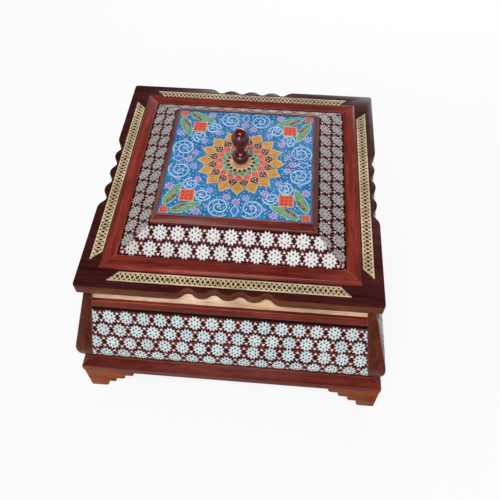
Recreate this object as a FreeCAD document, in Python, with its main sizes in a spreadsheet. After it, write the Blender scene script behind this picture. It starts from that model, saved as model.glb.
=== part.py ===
import FreeCAD, Part
import math
import os
import Sketcher

# Inlaid wooden box with a lift-off lid: a flared, square box on bracket feet, faced with
# micro-mosaic, and a low pyramid lid with a painted panel and a turned knob.
# Millimetres. Origin under the middle of the feet, +Z up, the front faces -Y.
# "Half" is always a distance from the upright axis, measured square to a side.

doc = FreeCAD.newDocument("inlaid_box")

SIZES = [
    # lid: flange board
    ("lid_width", "240"),
    ("flange_thick", "9.5"),
    ("flange_corner_round", "2.5"),
    ("scallop_pitch", "20.4"),
    ("scallop_count", "4"),
    ("scallop_depth", "5.5"),
    ("scallop_hump_inset", "1.5"),
    ("scallop_valley_radius", "5.5"),
    # lid: border strips let into the flange board
    ("strip_offset", "7.2"),
    ("strip_width", "8.6"),
    ("strip_thick", "1"),
    ("strip_corner_gap", "17.8"),
    # lid: raised frame, sloped inlay, centre frame and painted panel
    ("frame_gap", "1.4"),
    ("frame_width", "11.9"),
    ("frame_height", "3.8"),
    ("frame_round", "2.8"),
    ("slope_start_rise", "2.4"),
    ("slope_run", "24"),
    ("slope_rise", "13.6"),
    ("lid_inlay_thick", "1.2"),
    ("centre_frame_width", "5.2"),
    ("centre_frame_rise", "7.2"),
    ("centre_frame_flat", "0.9"),
    ("centre_bevel_drop", "5.2"),
    ("panel_recess", "1"),
    ("panel_clear", "0.1"),
    # lid: knob and its collar
    ("collar_width", "17.6"),
    ("collar_thick", "1"),
    ("ball_width", "14.4"),
    ("ball_seat_width", "8"),
    ("neck_width", "7.5"),
    ("neck_length", "4.6"),
    ("egg_width", "14.8"),
    ("egg_drop", "10.5"),
    ("egg_rise", "9.2"),
    ("tenon_width", "6"),
    ("tenon_length", "12"),
    ("tenon_clear", "0.1"),
    # lid: battens that keep it in place
    ("batten_clear", "1"),
    ("batten_width", "8"),
    ("batten_height", "8"),
    # box: walls, corner posts, inlay and top rail
    ("lid_overhang", "5.8"),
    ("wall_height", "99"),
    ("flare_angle", "15.2"),
    ("flare_height", "68"),
    ("belly_radius", "36"),
    ("inlay_thick", "2"),
    ("wall_thick", "6"),
    ("wall_foot_thick", "7"),
    ("post_width", "6.3"),
    ("post_foot_width", "4.2"),
    ("rail_drop", "13.5"),
    ("rail_height", "6.8"),
    ("rail_proud", "0.8"),
    # box: plinth, base panel and feet
    ("plinth_face", "7.5"),
    ("plinth_bevel_rise", "9"),
    ("plinth_bevel_run", "7.2"),
    ("plinth_ledge", "2.2"),
    ("seat_width", "6"),
    ("base_panel_thick", "4"),
    ("base_panel_clear", "0.2"),
    ("foot_height", "35"),
    ("foot_setback", "0.5"),
    ("foot_thick", "12"),
    ("toe_length", "17"),
    ("toe_rise", "10.8"),
    ("lobe_count", "3"),
    ("lobe_run", "9.6"),
    ("lobe_round", "4"),
    ("block_width", "8"),
    ("block_short", "8"),
    # rounded edges take at most this share of the wall they are cut in
    ("round_limit", "0.9"),
]

PLACES = [
    # heights of the box
    ("plinth_edge_z", "=foot_height + plinth_face"),
    ("plinth_top_z", "=plinth_edge_z + plinth_bevel_rise"),
    ("seat_z", "=plinth_top_z - base_panel_thick"),
    ("wall_top_z", "=plinth_top_z + wall_height"),
    ("rail_top_z", "=wall_top_z - rail_drop"),
    ("rail_foot_z", "=rail_top_z - rail_height"),
    ("belly_start_z", "=wall_top_z - flare_height"),
    # outer skin of the walls: straight flare, then an arc that tucks under
    ("flare_slope", "=tan(flare_angle * 1 deg)"),
    ("flare_cos", "=cos(flare_angle * 1 deg)"),
    ("flare_sin", "=sin(flare_angle * 1 deg)"),
    ("lid_half", "=lid_width / 2"),
    ("mouth_half", "=lid_half - lid_overhang"),
    ("skin_rail_foot", "=mouth_half + (rail_drop + rail_height) * flare_slope"),
    ("skin_belly", "=mouth_half + flare_height * flare_slope"),
    ("belly_centre", "=skin_belly - belly_radius * flare_cos"),
    ("belly_centre_z", "=belly_start_z - belly_radius * flare_sin"),
    ("skin_foot", "=belly_centre + sqrt(belly_radius ^ 2 - (belly_centre_z - plinth_top_z) ^ 2)"),
    # face of the wall boards, behind the inlay
    ("back_radius", "=belly_radius - inlay_thick"),
    ("back_drop", "=inlay_thick / flare_cos"),
    ("back_top", "=mouth_half - back_drop"),
    ("back_rail_top", "=back_top + rail_drop * flare_slope"),
    ("back_rail_foot", "=skin_rail_foot - back_drop"),
    ("back_belly", "=skin_belly - inlay_thick * flare_cos"),
    ("back_belly_z", "=belly_start_z - inlay_thick * flare_sin"),
    ("back_foot", "=belly_centre + sqrt(back_radius ^ 2 - (belly_centre_z - plinth_top_z) ^ 2)"),
    # inner face of the wall boards
    ("wall_inner_top", "=back_top - wall_thick"),
    ("wall_inner_belly", "=wall_inner_top + flare_height * flare_slope"),
    ("wall_inner_foot", "=back_foot - wall_foot_thick"),
    # edges of the corner posts, and the top rail's proud face
    ("post_top", "=mouth_half - post_width"),
    ("post_foot", "=skin_foot - post_foot_width"),
    ("rail_face_top", "=mouth_half + rail_drop * flare_slope + rail_proud"),
    ("rail_face_foot", "=skin_rail_foot + rail_proud"),
    # plinth, base panel and feet
    ("plinth_crest", "=skin_foot + plinth_ledge"),
    ("plinth_half", "=plinth_crest + plinth_bevel_run"),
    ("plinth_inner", "=wall_inner_foot - seat_width"),
    ("base_panel_width", "=2 * (wall_inner_foot - base_panel_clear)"),
    ("foot_half", "=plinth_half - foot_setback"),
    ("foot_inner", "=foot_half - foot_thick"),
    ("lobe_rise", "=(foot_height - toe_rise) / lobe_count"),
    ("lobe_edge", "=min(lobe_round; round_limit * lobe_rise; round_limit * toe_rise)"),
    ("block_inner", "=foot_inner - block_width"),
    # heights and edges of the lid
    ("flange_top_z", "=wall_top_z + flange_thick"),
    ("strip_seat_z", "=flange_top_z - strip_thick"),
    ("strip_outer", "=lid_half - strip_offset"),
    ("strip_inner", "=strip_outer - strip_width"),
    ("strip_outer_end", "=strip_outer - strip_corner_gap"),
    ("strip_inner_end", "=strip_outer_end - strip_width"),
    ("frame_outer", "=strip_inner - frame_gap"),
    ("frame_inner", "=frame_outer - frame_width"),
    ("frame_top_z", "=flange_top_z + frame_height"),
    ("frame_edge", "=min(frame_round; round_limit * frame_height)"),
    ("frame_edge_z", "=frame_top_z - frame_edge"),
    ("frame_edge_half", "=frame_outer - frame_edge"),
    ("slope_start_z", "=flange_top_z + slope_start_rise"),
    ("slope_end_z", "=slope_start_z + slope_rise"),
    ("slope_end", "=frame_inner - slope_run"),
    ("lid_inlay_drop", "=lid_inlay_thick * sqrt(slope_run ^ 2 + slope_rise ^ 2) / slope_run"),
    ("core_edge_z", "=slope_start_z - lid_inlay_drop"),
    ("core_top_z", "=slope_end_z - lid_inlay_drop"),
    ("centre_inner", "=slope_end - centre_frame_width"),
    ("centre_top_z", "=slope_end_z + centre_frame_rise"),
    ("centre_bevel_z", "=centre_top_z - centre_bevel_drop"),
    ("centre_flat_half", "=centre_inner + centre_frame_flat"),
    ("panel_width", "=2 * (centre_inner - panel_clear)"),
    ("panel_thick", "=centre_top_z - panel_recess - core_top_z"),
    ("panel_top_z", "=core_top_z + panel_thick"),
    ("batten_outer", "=wall_inner_top - batten_clear"),
    ("batten_inner", "=batten_outer - batten_width"),
    ("batten_foot_z", "=wall_top_z - batten_height"),
    # profile of the knob, from its tenon up
    ("collar_top_z", "=panel_top_z + collar_thick"),
    ("tenon_radius", "=tenon_width / 2"),
    ("tenon_foot_z", "=collar_top_z - tenon_length"),
    ("tenon_hole_width", "=tenon_width + 2 * tenon_clear"),
    ("tenon_hole_foot_z", "=tenon_foot_z - tenon_clear"),
    ("ball_radius", "=ball_width / 2"),
    ("ball_seat_radius", "=ball_seat_width / 2"),
    ("ball_centre_z", "=collar_top_z + sqrt(ball_radius ^ 2 - ball_seat_radius ^ 2)"),
    ("neck_radius", "=neck_width / 2"),
    ("neck_foot_z", "=ball_centre_z + sqrt(ball_radius ^ 2 - neck_radius ^ 2)"),
    ("neck_top_z", "=neck_foot_z + neck_length"),
    ("egg_radius", "=egg_width / 2"),
    ("egg_centre_z", "=neck_top_z + egg_drop"),
    ("egg_swell", "=egg_radius - neck_radius"),
    ("egg_drop_radius", "=(egg_drop ^ 2 + egg_swell ^ 2) / (2 * egg_swell)"),
    ("egg_drop_back", "=egg_drop_radius - egg_radius"),
    ("egg_top_z", "=egg_centre_z + egg_rise"),
    ("egg_tip_radius", "=egg_radius ^ 2 / egg_rise"),
    ("egg_tip_centre_z", "=egg_top_z - egg_tip_radius"),
    ("egg_tip_rise", "=egg_rise - egg_tip_radius"),
    ("egg_side_radius", "=(egg_tip_rise ^ 2 + egg_radius ^ 2 - egg_tip_radius ^ 2)"
     " / (2 * (egg_radius - egg_tip_radius))"),
    ("egg_side_back", "=egg_side_radius - egg_radius"),
    ("egg_crown_share", "=egg_tip_radius / (egg_side_radius - egg_tip_radius)"),
    ("egg_crown", "=egg_side_back * egg_crown_share"),
    ("egg_crown_z", "=egg_tip_centre_z + egg_tip_rise * egg_crown_share"),
    # longer than any piece, for outlines that cut right through
    ("reach", "=plinth_half + lid_half"),
    ("double_reach", "=2 * reach"),
]

sheet = doc.addObject("Spreadsheet::Sheet", "Sizes")


def write_cells(column, cells):
    for row, (name, text) in enumerate(cells, start=1):
        sheet.set("%s%d" % (column, row), text)
        sheet.setAlias("%s%d" % (column, row), name)


write_cells("B", SIZES)
write_cells("D", PLACES)
doc.recompute()

# The stepped inner end of a foot: each lobe ends in a rounded corner, further in and higher up.
LOBES = []
for step in range(int(sheet.get("lobe_count")) + 1):
    inward = "=foot_half - toe_length - %d * lobe_run" % step
    height = "=toe_rise + %d * lobe_rise" % (step - 1) if step else "=0"
    LOBES += [
        ("lobe_end_%d" % step, inward),
        ("lobe_curve_%d" % step, "=lobe_end_%d + lobe_edge" % step),
        ("lobe_foot_z_%d" % step, height),
        ("lobe_curve_z_%d" % step, "=lobe_foot_z_%d + lobe_edge" % step),
    ]
write_cells("F", LOBES)
doc.recompute()

nodes = []


def size_of(word):
    if word == "0":
        return 0.0
    return -sheet.get(word[1:]) if word.startswith("-") else sheet.get(word)


def pin(sketch, edge, end, words):
    # Holds one corner of an outline at the two named sizes, measured from the sketch's origin.
    for direction, axis, word in (("DistanceX", -2, words[0]), ("DistanceY", -1, words[1])):
        if word == "0":
            sketch.addConstraint(Sketcher.Constraint("PointOnObject", edge, end, axis))
            continue
        ends = (edge, end, -1, 1) if word.startswith("-") else (-1, 1, edge, end)
        index = sketch.addConstraint(Sketcher.Constraint(direction, *ends, abs(size_of(word))))
        sketch.setExpression("Constraints[%d]" % index, "Sizes." + word.lstrip("-"))


def draw(sketch, corners):
    # A closed outline. A corner is (x, y), with a straight edge to the next corner, or
    # (x, y, centre_x, centre_y, radius), with an arc to the next corner.
    ends = []
    for corner, following in zip(corners, corners[1:] + corners[:1]):
        start = FreeCAD.Vector(size_of(corner[0]), size_of(corner[1]), 0)
        stop = FreeCAD.Vector(size_of(following[0]), size_of(following[1]), 0)
        if len(corner) == 2:
            sketch.addGeometry(Part.LineSegment(start, stop))
            ends.append((1, 2))
            continue
        centre = FreeCAD.Vector(size_of(corner[2]), size_of(corner[3]), 0)
        from_angle = math.atan2(start.y - centre.y, start.x - centre.x)
        to_angle = math.atan2(stop.y - centre.y, stop.x - centre.x)
        anticlockwise = (to_angle - from_angle) % (2 * math.pi) < math.pi
        if not anticlockwise:
            from_angle, to_angle = to_angle, from_angle
        circle = Part.Circle(centre, FreeCAD.Vector(0, 0, 1), size_of(corner[4]))
        sketch.addGeometry(Part.ArcOfCircle(circle, from_angle, to_angle))
        ends.append((1, 2) if anticlockwise else (2, 1))
    for edge, corner in enumerate(corners):
        before = edge - 1 if edge else len(corners) - 1
        sketch.addConstraint(Sketcher.Constraint("Coincident", before, ends[before][1], edge, ends[edge][0]))
        pin(sketch, edge, ends[edge][0], corner[:2])
        if len(corner) > 2:
            index = sketch.addConstraint(Sketcher.Constraint("Radius", edge, size_of(corner[4])))
            sketch.setExpression("Constraints[%d]" % index, "Sizes." + corner[4])


def axes(x_axis, y_axis):
    x_axis = FreeCAD.Vector(*x_axis)
    y_axis = FreeCAD.Vector(*y_axis)
    normal = x_axis.cross(y_axis)
    return FreeCAD.Placement(FreeCAD.Vector(0, 0, 0), FreeCAD.Rotation(x_axis, y_axis, normal))


# The three ways an outline of the front's pieces is drawn: a section across the piece
# (outwards, up), its front (along, up) and its plan (along, outwards).
OUTWARD = (0, -1, 0)
ALONG = (1, 0, 0)
UP = (0, 0, 1)
VIEWS = {
    "section": axes(OUTWARD, UP),
    "front": axes(ALONG, UP),
    "plan": axes(ALONG, OUTWARD),
}
SIDES = ("front", "right", "back", "left")
CORNERS = ("front_right", "back_right", "back_left", "front_left")
QUARTER = 90


def turned(turn):
    return FreeCAD.Placement(
        FreeCAD.Vector(0, 0, 0), FreeCAD.Rotation(FreeCAD.Vector(0, 0, 1), QUARTER * turn))


def prism(name, view, corners, turn):
    sketch = doc.addObject("Sketcher::SketchObject", "%s_%s" % (name, view))
    sketch.Placement = turned(turn).multiply(VIEWS[view])
    draw(sketch, corners)
    solid = doc.addObject("Part::Extrusion", "%s_%s_prism" % (name, view))
    solid.Base = sketch
    solid.DirMode = "Normal"
    solid.Solid = True
    solid.Symmetric = view != "front"
    solid.setExpression("LengthFwd", "Sizes.reach" if view == "front" else "Sizes.double_reach")
    return solid


def common_of(name, turn, outlines):
    # The solid that fits all the given outlines, on the side that the turn brings it to.
    prisms = []
    for view, corners in outlines.items():
        prisms.append(prism(name, view, corners, turn))
    solid = doc.addObject("Part::MultiCommon", name)
    solid.Shapes = prisms
    return solid


def keep(solid, label):
    solid.Label = label
    nodes.append(solid)
    return solid


def side_pieces(label, **outlines):
    # One piece on each of the four sides.
    pieces = []
    for turn, side in enumerate(SIDES):
        name = "%s_%s" % (label, side)
        pieces.append(keep(common_of(name, turn, outlines), name))
    return pieces


def cut(name, base, tool):
    solid = doc.addObject("Part::Cut", name)
    solid.Base = base
    solid.Tool = tool
    return solid


def box(name, width, height, foot_z):
    # An upright square block about the axis, from named sizes.
    solid = doc.addObject("Part::Box", name)
    for length in ("Length", "Width"):
        solid.setExpression(length, "Sizes." + width)
    solid.setExpression("Height", "Sizes." + height)
    for direction in ("x", "y"):
        solid.setExpression("Placement.Base." + direction, "-Sizes.%s / 2" % width)
    solid.setExpression("Placement.Base.z", "Sizes." + foot_z)
    return solid


def cylinder(name, width, height, foot_z):
    solid = doc.addObject("Part::Cylinder", name)
    solid.setExpression("Radius", "Sizes.%s / 2" % width)
    solid.setExpression("Height", "Sizes." + height)
    solid.setExpression("Placement.Base.z", "Sizes." + foot_z)
    return solid


# Pieces that meet at a corner are mitred: a wedge of the plan, from the axis to the corners.
MITRE = [("0", "0"), ("reach", "reach"), ("-reach", "reach")]
HALF_MITRE = [("0", "0"), ("reach", "reach"), ("0", "reach")]
HALF_MITRE_LEFT = [("0", "0"), ("-reach", "reach"), ("0", "reach")]

# Feet: two boards mitred at each corner, stepped and rounded at their inner ends.
foot_front = [("foot_half", "foot_height"), ("foot_half", "0")]
last_lobe = int(sheet.get("lobe_count"))
for step in range(last_lobe + 1):
    foot_z = "lobe_foot_z_%d" % step if step else "0"
    end, curve, curve_z = "lobe_end_%d" % step, "lobe_curve_%d" % step, "lobe_curve_z_%d" % step
    next_z = "lobe_foot_z_%d" % (step + 1) if step < last_lobe else "foot_height"
    foot_front.append((curve, foot_z, curve, curve_z, "lobe_edge"))
    foot_front.append((end, curve_z))
    foot_front.append((end, next_z))


def mirrored(corners):
    flipped = []
    for corner in corners:
        flipped.append(tuple("-" + word if spot in (0, 2) else word for spot, word in enumerate(corner)))
    return flipped


foot_section = [
    ("foot_inner", "0"), ("foot_half", "0"), ("foot_half", "foot_height"), ("foot_inner", "foot_height")]
side_pieces("foot_board_right", section=foot_section, front=foot_front, plan=HALF_MITRE)
side_pieces("foot_board_left", section=foot_section, front=mirrored(foot_front), plan=HALF_MITRE_LEFT)

# Glue blocks in the corners behind the foot boards, short of the floor.
block_outline = [
    ("block_inner", "block_short"), ("foot_inner", "block_short"),
    ("foot_inner", "foot_height"), ("block_inner", "foot_height")]
blocks = []
for turn, corner in enumerate(CORNERS):
    outlines = {"section": block_outline, "front": block_outline}
    blocks.append(common_of("foot_block_%s" % corner, turn, outlines))
foot_blocks = keep(doc.addObject("Part::Compound", "foot_blocks"), "foot_blocks")
foot_blocks.Links = blocks

# Plinth rails, rebated inside for the base panel and bevelled outside.
side_pieces("plinth_rail", plan=MITRE, section=[
    ("plinth_inner", "foot_height"), ("plinth_half", "foot_height"), ("plinth_half", "plinth_edge_z"),
    ("plinth_crest", "plinth_top_z"), ("wall_inner_foot", "plinth_top_z"), ("wall_inner_foot", "seat_z"),
    ("plinth_inner", "seat_z")])

# Base panel, dropped into the plinth's rebate.
keep(box("base_panel", "base_panel_width", "base_panel_thick", "seat_z"), "base_panel")

# The wall's outer skin and the wall board's face behind it both tuck under along an arc.
skin_turn = ("skin_foot", "plinth_top_z", "belly_centre", "belly_centre_z", "belly_radius")
back_turn = ("back_foot", "plinth_top_z", "belly_centre", "belly_centre_z", "back_radius")

# Wall boards, mitred at the corners.
side_pieces("wall_board", plan=MITRE, section=[
    ("wall_inner_foot", "plinth_top_z"), back_turn, ("back_belly", "back_belly_z"),
    ("back_top", "wall_top_z"), ("wall_inner_top", "wall_top_z"), ("wall_inner_belly", "belly_start_z")])

# Corner posts: facings that wrap the corner of two wall boards, out to the skin.
post_outline = [
    ("post_foot", "plinth_top_z"), skin_turn, ("skin_belly", "belly_start_z"),
    ("mouth_half", "wall_top_z"), ("post_top", "wall_top_z")]
carcass_outline = [
    ("0", "plinth_top_z"), back_turn, ("back_belly", "back_belly_z"),
    ("back_top", "wall_top_z"), ("0", "wall_top_z")]
for turn, corner in enumerate(CORNERS):
    name = "corner_post_%s" % corner
    blank = common_of(name + "_blank", turn, {"section": post_outline, "front": post_outline})
    carcass = common_of(name + "_carcass", turn, {"section": carcass_outline, "front": carcass_outline})
    keep(cut(name, blank, carcass), name)

# Between the posts: the inlay panel and the rail that closes its upper edge.
between_posts = [
    ("-post_foot", "plinth_top_z"), ("post_foot", "plinth_top_z"),
    ("post_top", "wall_top_z"), ("-post_top", "wall_top_z")]
side_pieces("wall_inlay", front=between_posts, section=[
    skin_turn, ("skin_belly", "belly_start_z"), ("skin_rail_foot", "rail_foot_z"),
    ("back_rail_foot", "rail_foot_z"),
    ("back_belly", "back_belly_z", "belly_centre", "belly_centre_z", "back_radius"),
    ("back_foot", "plinth_top_z")])
side_pieces("top_rail", front=between_posts, section=[
    ("back_rail_foot", "rail_foot_z"), ("rail_face_foot", "rail_foot_z"),
    ("rail_face_top", "rail_top_z"), ("back_rail_top", "rail_top_z")])

# Border strips of the lid, flush with the flange board's top, their ends cut to a mitre.
strips = side_pieces("border_strip", section=[
    ("strip_inner", "strip_seat_z"), ("strip_outer", "strip_seat_z"),
    ("strip_outer", "flange_top_z"), ("strip_inner", "flange_top_z")], plan=[
    ("-strip_inner_end", "strip_inner"), ("strip_inner_end", "strip_inner"),
    ("strip_outer_end", "strip_outer"), ("-strip_outer_end", "strip_outer")])


def on_edge(along, outward):
    return FreeCAD.Vector(along, -outward, 0)


def arc_about(centre, start, stop):
    # The shorter arc about a centre.
    radius = (start - centre).Length
    middle = (start - centre) + (stop - centre)
    return Part.Arc(start, centre + middle.normalize() * radius, stop)


def scalloped_edge():
    # One edge of the flange board, from corner to corner: a straight run, rounded humps and
    # narrower valleys that flow into each other, another straight run and the corner's arc.
    half = sheet.get("lid_half")
    pitch = sheet.get("scallop_pitch")
    count = int(sheet.get("scallop_count"))
    depth = sheet.get("scallop_depth")
    inset = sheet.get("scallop_hump_inset")
    valley_radius = sheet.get("scallop_valley_radius")
    corner_round = sheet.get("flange_corner_round")
    swing = depth - inset
    radii = ((pitch / 2) ** 2 + swing ** 2) / (2 * swing)
    hump_radius = radii - valley_radius
    shoulder = (count - 1) / 2 * pitch + math.sqrt(2 * depth * radii - depth ** 2)
    circles = [(on_edge(-shoulder, half - hump_radius), hump_radius)]
    for valley in range(count):
        along = (valley - (count - 1) / 2) * pitch
        circles.append((on_edge(along, half - depth + valley_radius), valley_radius))
        if valley < count - 1:
            circles.append((on_edge(along + pitch / 2, half - inset - hump_radius), hump_radius))
    circles.append((on_edge(shoulder, half - hump_radius), hump_radius))
    joins = [on_edge(-shoulder, half)]
    for (centre, radius), (next_centre, next_radius) in zip(circles, circles[1:]):
        joins.append(centre + (next_centre - centre) * (radius / (radius + next_radius)))
    joins.append(on_edge(shoulder, half))
    corner = half - corner_round
    curves = [Part.LineSegment(on_edge(-corner, half), joins[0])]
    for (centre, radius), start, stop in zip(circles, joins, joins[1:]):
        curves.append(arc_about(centre, start, stop))
    curves.append(Part.LineSegment(joins[-1], on_edge(corner, half)))
    curves.append(arc_about(on_edge(corner, corner), on_edge(corner, half), on_edge(half, corner)))
    return [curve.toShape() for curve in curves]


# Flange board, grooved for the border strips.
outline = []
for turn in range(len(SIDES)):
    for edge in scalloped_edge():
        edge.Placement = turned(turn)
        outline.append(edge)
flange_face = Part.Face(Part.Wire(outline))
flange_blank = doc.addObject("Part::Feature", "flange_blank")
flange_blank.Shape = flange_face.extrude(FreeCAD.Vector(0, 0, sheet.get("flange_thick")))
flange_blank.Placement = FreeCAD.Placement(
    FreeCAD.Vector(0, 0, sheet.get("wall_top_z")), FreeCAD.Rotation())
strip_grooves = doc.addObject("Part::Compound", "strip_grooves")
strip_grooves.Links = strips
keep(cut("flange_board", flange_blank, strip_grooves), "flange_board")

# Battens under the flange board, just inside the walls.
side_pieces("lid_batten", plan=MITRE, section=[
    ("batten_inner", "batten_foot_z"), ("batten_outer", "batten_foot_z"),
    ("batten_outer", "wall_top_z"), ("batten_inner", "wall_top_z")])

# Raised frame round the sloped part of the lid, its outer edge rounded over.
side_pieces("frame_moulding", plan=MITRE, section=[
    ("frame_inner", "flange_top_z"), ("frame_outer", "flange_top_z"),
    ("frame_outer", "frame_edge_z", "frame_edge_half", "frame_edge_z", "frame_edge"),
    ("frame_edge_half", "frame_top_z"), ("frame_inner", "frame_top_z")])

# Lid core: a low pyramid with a flat top, bored for the knob's tenon.
core_outline = [
    ("-frame_inner", "flange_top_z"), ("frame_inner", "flange_top_z"), ("frame_inner", "core_edge_z"),
    ("slope_end", "core_top_z"), ("-slope_end", "core_top_z"), ("-frame_inner", "core_edge_z")]
core_blank = doc.addObject("Part::MultiCommon", "lid_core_blank")
core_blank.Shapes = [prism("lid_core_%s" % SIDES[turn], "section", core_outline, turn) for turn in (0, 1)]
tenon_hole = cylinder("tenon_hole", "tenon_hole_width", "reach", "tenon_hole_foot_z")
keep(cut("lid_core", core_blank, tenon_hole), "lid_core")

# Sloped inlay panels on the core, and the frame that they run up to.
side_pieces("lid_inlay", plan=MITRE, section=[
    ("frame_inner", "core_edge_z"), ("frame_inner", "slope_start_z"),
    ("slope_end", "slope_end_z"), ("slope_end", "core_top_z")])
side_pieces("centre_frame", plan=MITRE, section=[
    ("centre_inner", "core_top_z"), ("slope_end", "core_top_z"),
    ("slope_end", "centre_bevel_z"), ("centre_flat_half", "centre_top_z"),
    ("centre_inner", "centre_top_z")])

# Painted panel in the centre frame, and the collar under the knob.
panel_blank = box("panel_blank", "panel_width", "panel_thick", "core_top_z")
keep(cut("painted_panel", panel_blank, tenon_hole), "painted_panel")
collar_blank = cylinder("collar_blank", "collar_width", "collar_thick", "panel_top_z")
keep(cut("knob_collar", collar_blank, tenon_hole), "knob_collar")

# Knob: turned in one piece, a tenon, a ball, a neck and an egg.
knob = keep(doc.addObject("PartDesign::Body", "knob"), "knob")
upright_plane = next(plane for plane in knob.Origin.OriginFeatures if plane.Role == "XZ_Plane")
knob_profile = knob.newObject("Sketcher::SketchObject", "knob_profile")
knob_profile.AttachmentSupport = [(upright_plane, "")]
knob_profile.MapMode = "FlatFace"
draw(knob_profile, [
    ("0", "tenon_foot_z"), ("tenon_radius", "tenon_foot_z"), ("tenon_radius", "collar_top_z"),
    ("ball_seat_radius", "collar_top_z", "0", "ball_centre_z", "ball_radius"),
    ("neck_radius", "neck_foot_z"),
    ("neck_radius", "neck_top_z", "-egg_drop_back", "egg_centre_z", "egg_drop_radius"),
    ("egg_radius", "egg_centre_z", "-egg_side_back", "egg_centre_z", "egg_side_radius"),
    ("egg_crown", "egg_crown_z", "0", "egg_tip_centre_z", "egg_tip_radius"),
    ("0", "egg_top_z")])
turning = knob.newObject("PartDesign::Revolution", "knob_turning")
turning.Profile = knob_profile
turning.ReferenceAxis = (knob_profile, ["V_Axis"])
knob.Tip = turning

doc.recompute()

for item in doc.Objects:
    faults = {"Invalid", "Error"}.intersection(item.State)
    if faults:
        raise RuntimeError("%s is %s" % (item.Label, ", ".join(sorted(faults))))
for node in nodes:
    if node.Shape.isNull() or not node.Shape.isValid() or not node.Shape.Solids:
        raise RuntimeError("%s has no valid solid" % node.Label)

os.makedirs("parts", exist_ok=True)
for node in nodes:
    node.Shape.exportStep("parts/%s.step" % node.Label)
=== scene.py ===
import math

import bmesh
import bpy
from mathutils import Matrix, Vector


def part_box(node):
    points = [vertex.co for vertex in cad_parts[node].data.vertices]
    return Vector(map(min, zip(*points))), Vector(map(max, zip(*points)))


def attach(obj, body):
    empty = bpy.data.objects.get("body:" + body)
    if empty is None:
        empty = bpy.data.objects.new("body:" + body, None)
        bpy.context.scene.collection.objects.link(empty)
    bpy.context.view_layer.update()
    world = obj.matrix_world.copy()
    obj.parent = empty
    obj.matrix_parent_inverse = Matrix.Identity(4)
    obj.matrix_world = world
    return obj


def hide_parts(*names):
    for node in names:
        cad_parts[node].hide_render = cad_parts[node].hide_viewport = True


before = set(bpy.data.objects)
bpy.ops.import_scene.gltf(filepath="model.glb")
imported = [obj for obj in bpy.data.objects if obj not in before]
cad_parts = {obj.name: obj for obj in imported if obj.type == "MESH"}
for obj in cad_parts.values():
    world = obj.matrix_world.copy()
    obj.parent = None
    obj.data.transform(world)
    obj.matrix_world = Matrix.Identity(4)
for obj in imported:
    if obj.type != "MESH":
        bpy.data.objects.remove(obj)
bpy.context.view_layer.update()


# Base panel and glue blocks: plain beech, sawn and planed and left without stain. The panel lies in the
# plinth's rebate, and the blocks are glued into the corners behind the feet.
def linear(code):
    levels = [int(code[i:i + 2], 16) / 255 for i in (1, 3, 5)]
    return [*(v / 12.92 if v <= 0.04045 else ((v + 0.055) / 1.055) ** 2.4 for v in levels), 1]


def connect(tree, node, inputs):
    # An input gets a value, or a link from a socket, from a node's first socket or from a list of those.
    for name, value in inputs.items():
        for source in value if isinstance(value, list) else [value]:
            if isinstance(source, bpy.types.Node):
                source = source.outputs[0]
            if isinstance(source, bpy.types.NodeSocket):
                tree.links.new(source, node.inputs[name])
            else:
                node.inputs[name].default_value = value


def add(tree, kind, inputs={}, **settings):
    node = tree.nodes.new(kind)
    for name, value in settings.items():
        setattr(node, name, value)
    connect(tree, node, inputs)
    return node


def new_finish(name):
    material = bpy.data.materials.new(name)
    material.use_nodes = True
    return material, material.node_tree, material.node_tree.nodes["Principled BSDF"]


LACQUER_IOR = 1.5
GRAIN_STRETCH = 0.06
BLOTCH_MM = 32


def lacquered_wood(name, dark, light, along, roughness, coat, figure_mm=5.0, pore_mm=0.7, shine=0.08):
    # Close-grained wood under stain: long soft figure, fine dark pores drawn out along the board, a stain
    # that took unevenly over a few centimetres, and a clear coat whose gloss follows the pores a little.
    # Real pores are about 0.1 mm across; they are drawn coarser so that they show.
    material, tree, shader = new_finish(name)
    place = add(tree, "ShaderNodeTexCoord").outputs["Object"]
    drawn_out = [GRAIN_STRETCH if axis == along else 1.0 for axis in "XYZ"]
    board = add(tree, "ShaderNodeMapping", {"Vector": place, "Scale": drawn_out})
    figure = add(tree, "ShaderNodeTexNoise", {
        "Vector": board, "Scale": 1000 / figure_mm, "Detail": 3, "Roughness": 0.6, "Distortion": 0.5})
    pores = add(tree, "ShaderNodeTexNoise", {
        "Vector": board, "Scale": 1000 / pore_mm, "Detail": 1, "Roughness": 0.5})
    blotches = add(tree, "ShaderNodeTexNoise", {"Vector": place, "Scale": 1000 / BLOTCH_MM, "Detail": 2})
    figured = add(tree, "ShaderNodeMapRange", {"Value": figure, "From Min": 0.34, "From Max": 0.66})
    stain = add(tree, "ShaderNodeMix", {
        0: figured, 6: linear(dark), 7: linear(light)}, data_type="RGBA").outputs[2]
    uneven = add(tree, "ShaderNodeMapRange", {
        "Value": blotches, "From Min": 0.3, "From Max": 0.7, "To Min": 0.78, "To Max": 1.12})
    open_pore = add(tree, "ShaderNodeMapRange", {
        "Value": pores, "From Min": 0.38, "From Max": 0.5, "To Min": 0.62, "To Max": 1.0})
    shade = add(tree, "ShaderNodeMath", {0: uneven, 1: open_pore}, operation="MULTIPLY")
    seen = add(tree, "ShaderNodeVectorMath", {0: stain, "Scale": shade}, operation="SCALE")
    gloss = add(tree, "ShaderNodeMapRange", {
        "Value": pores, "From Min": 0.3, "From Max": 0.6, "To Min": roughness + 0.12, "To Max": roughness})
    relief = add(tree, "ShaderNodeBump", {"Height": pores, "Strength": 0.12, "Distance": 0.0002})
    connect(tree, shader, {
        "Base Color": seen, "Roughness": gloss, "Normal": relief, "IOR": LACQUER_IOR,
        "Specular IOR Level": shine, "Coat Weight": coat, "Coat Roughness": 0.16})
    return material


planed_beech = lacquered_wood("planed_bare_beech", "#8d6a45", "#b08a60", "X", 0.55, 0.0)
for node in ("base_panel", "foot_blocks"):
    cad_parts[node].material_slots[0].material = planed_beech


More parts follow.
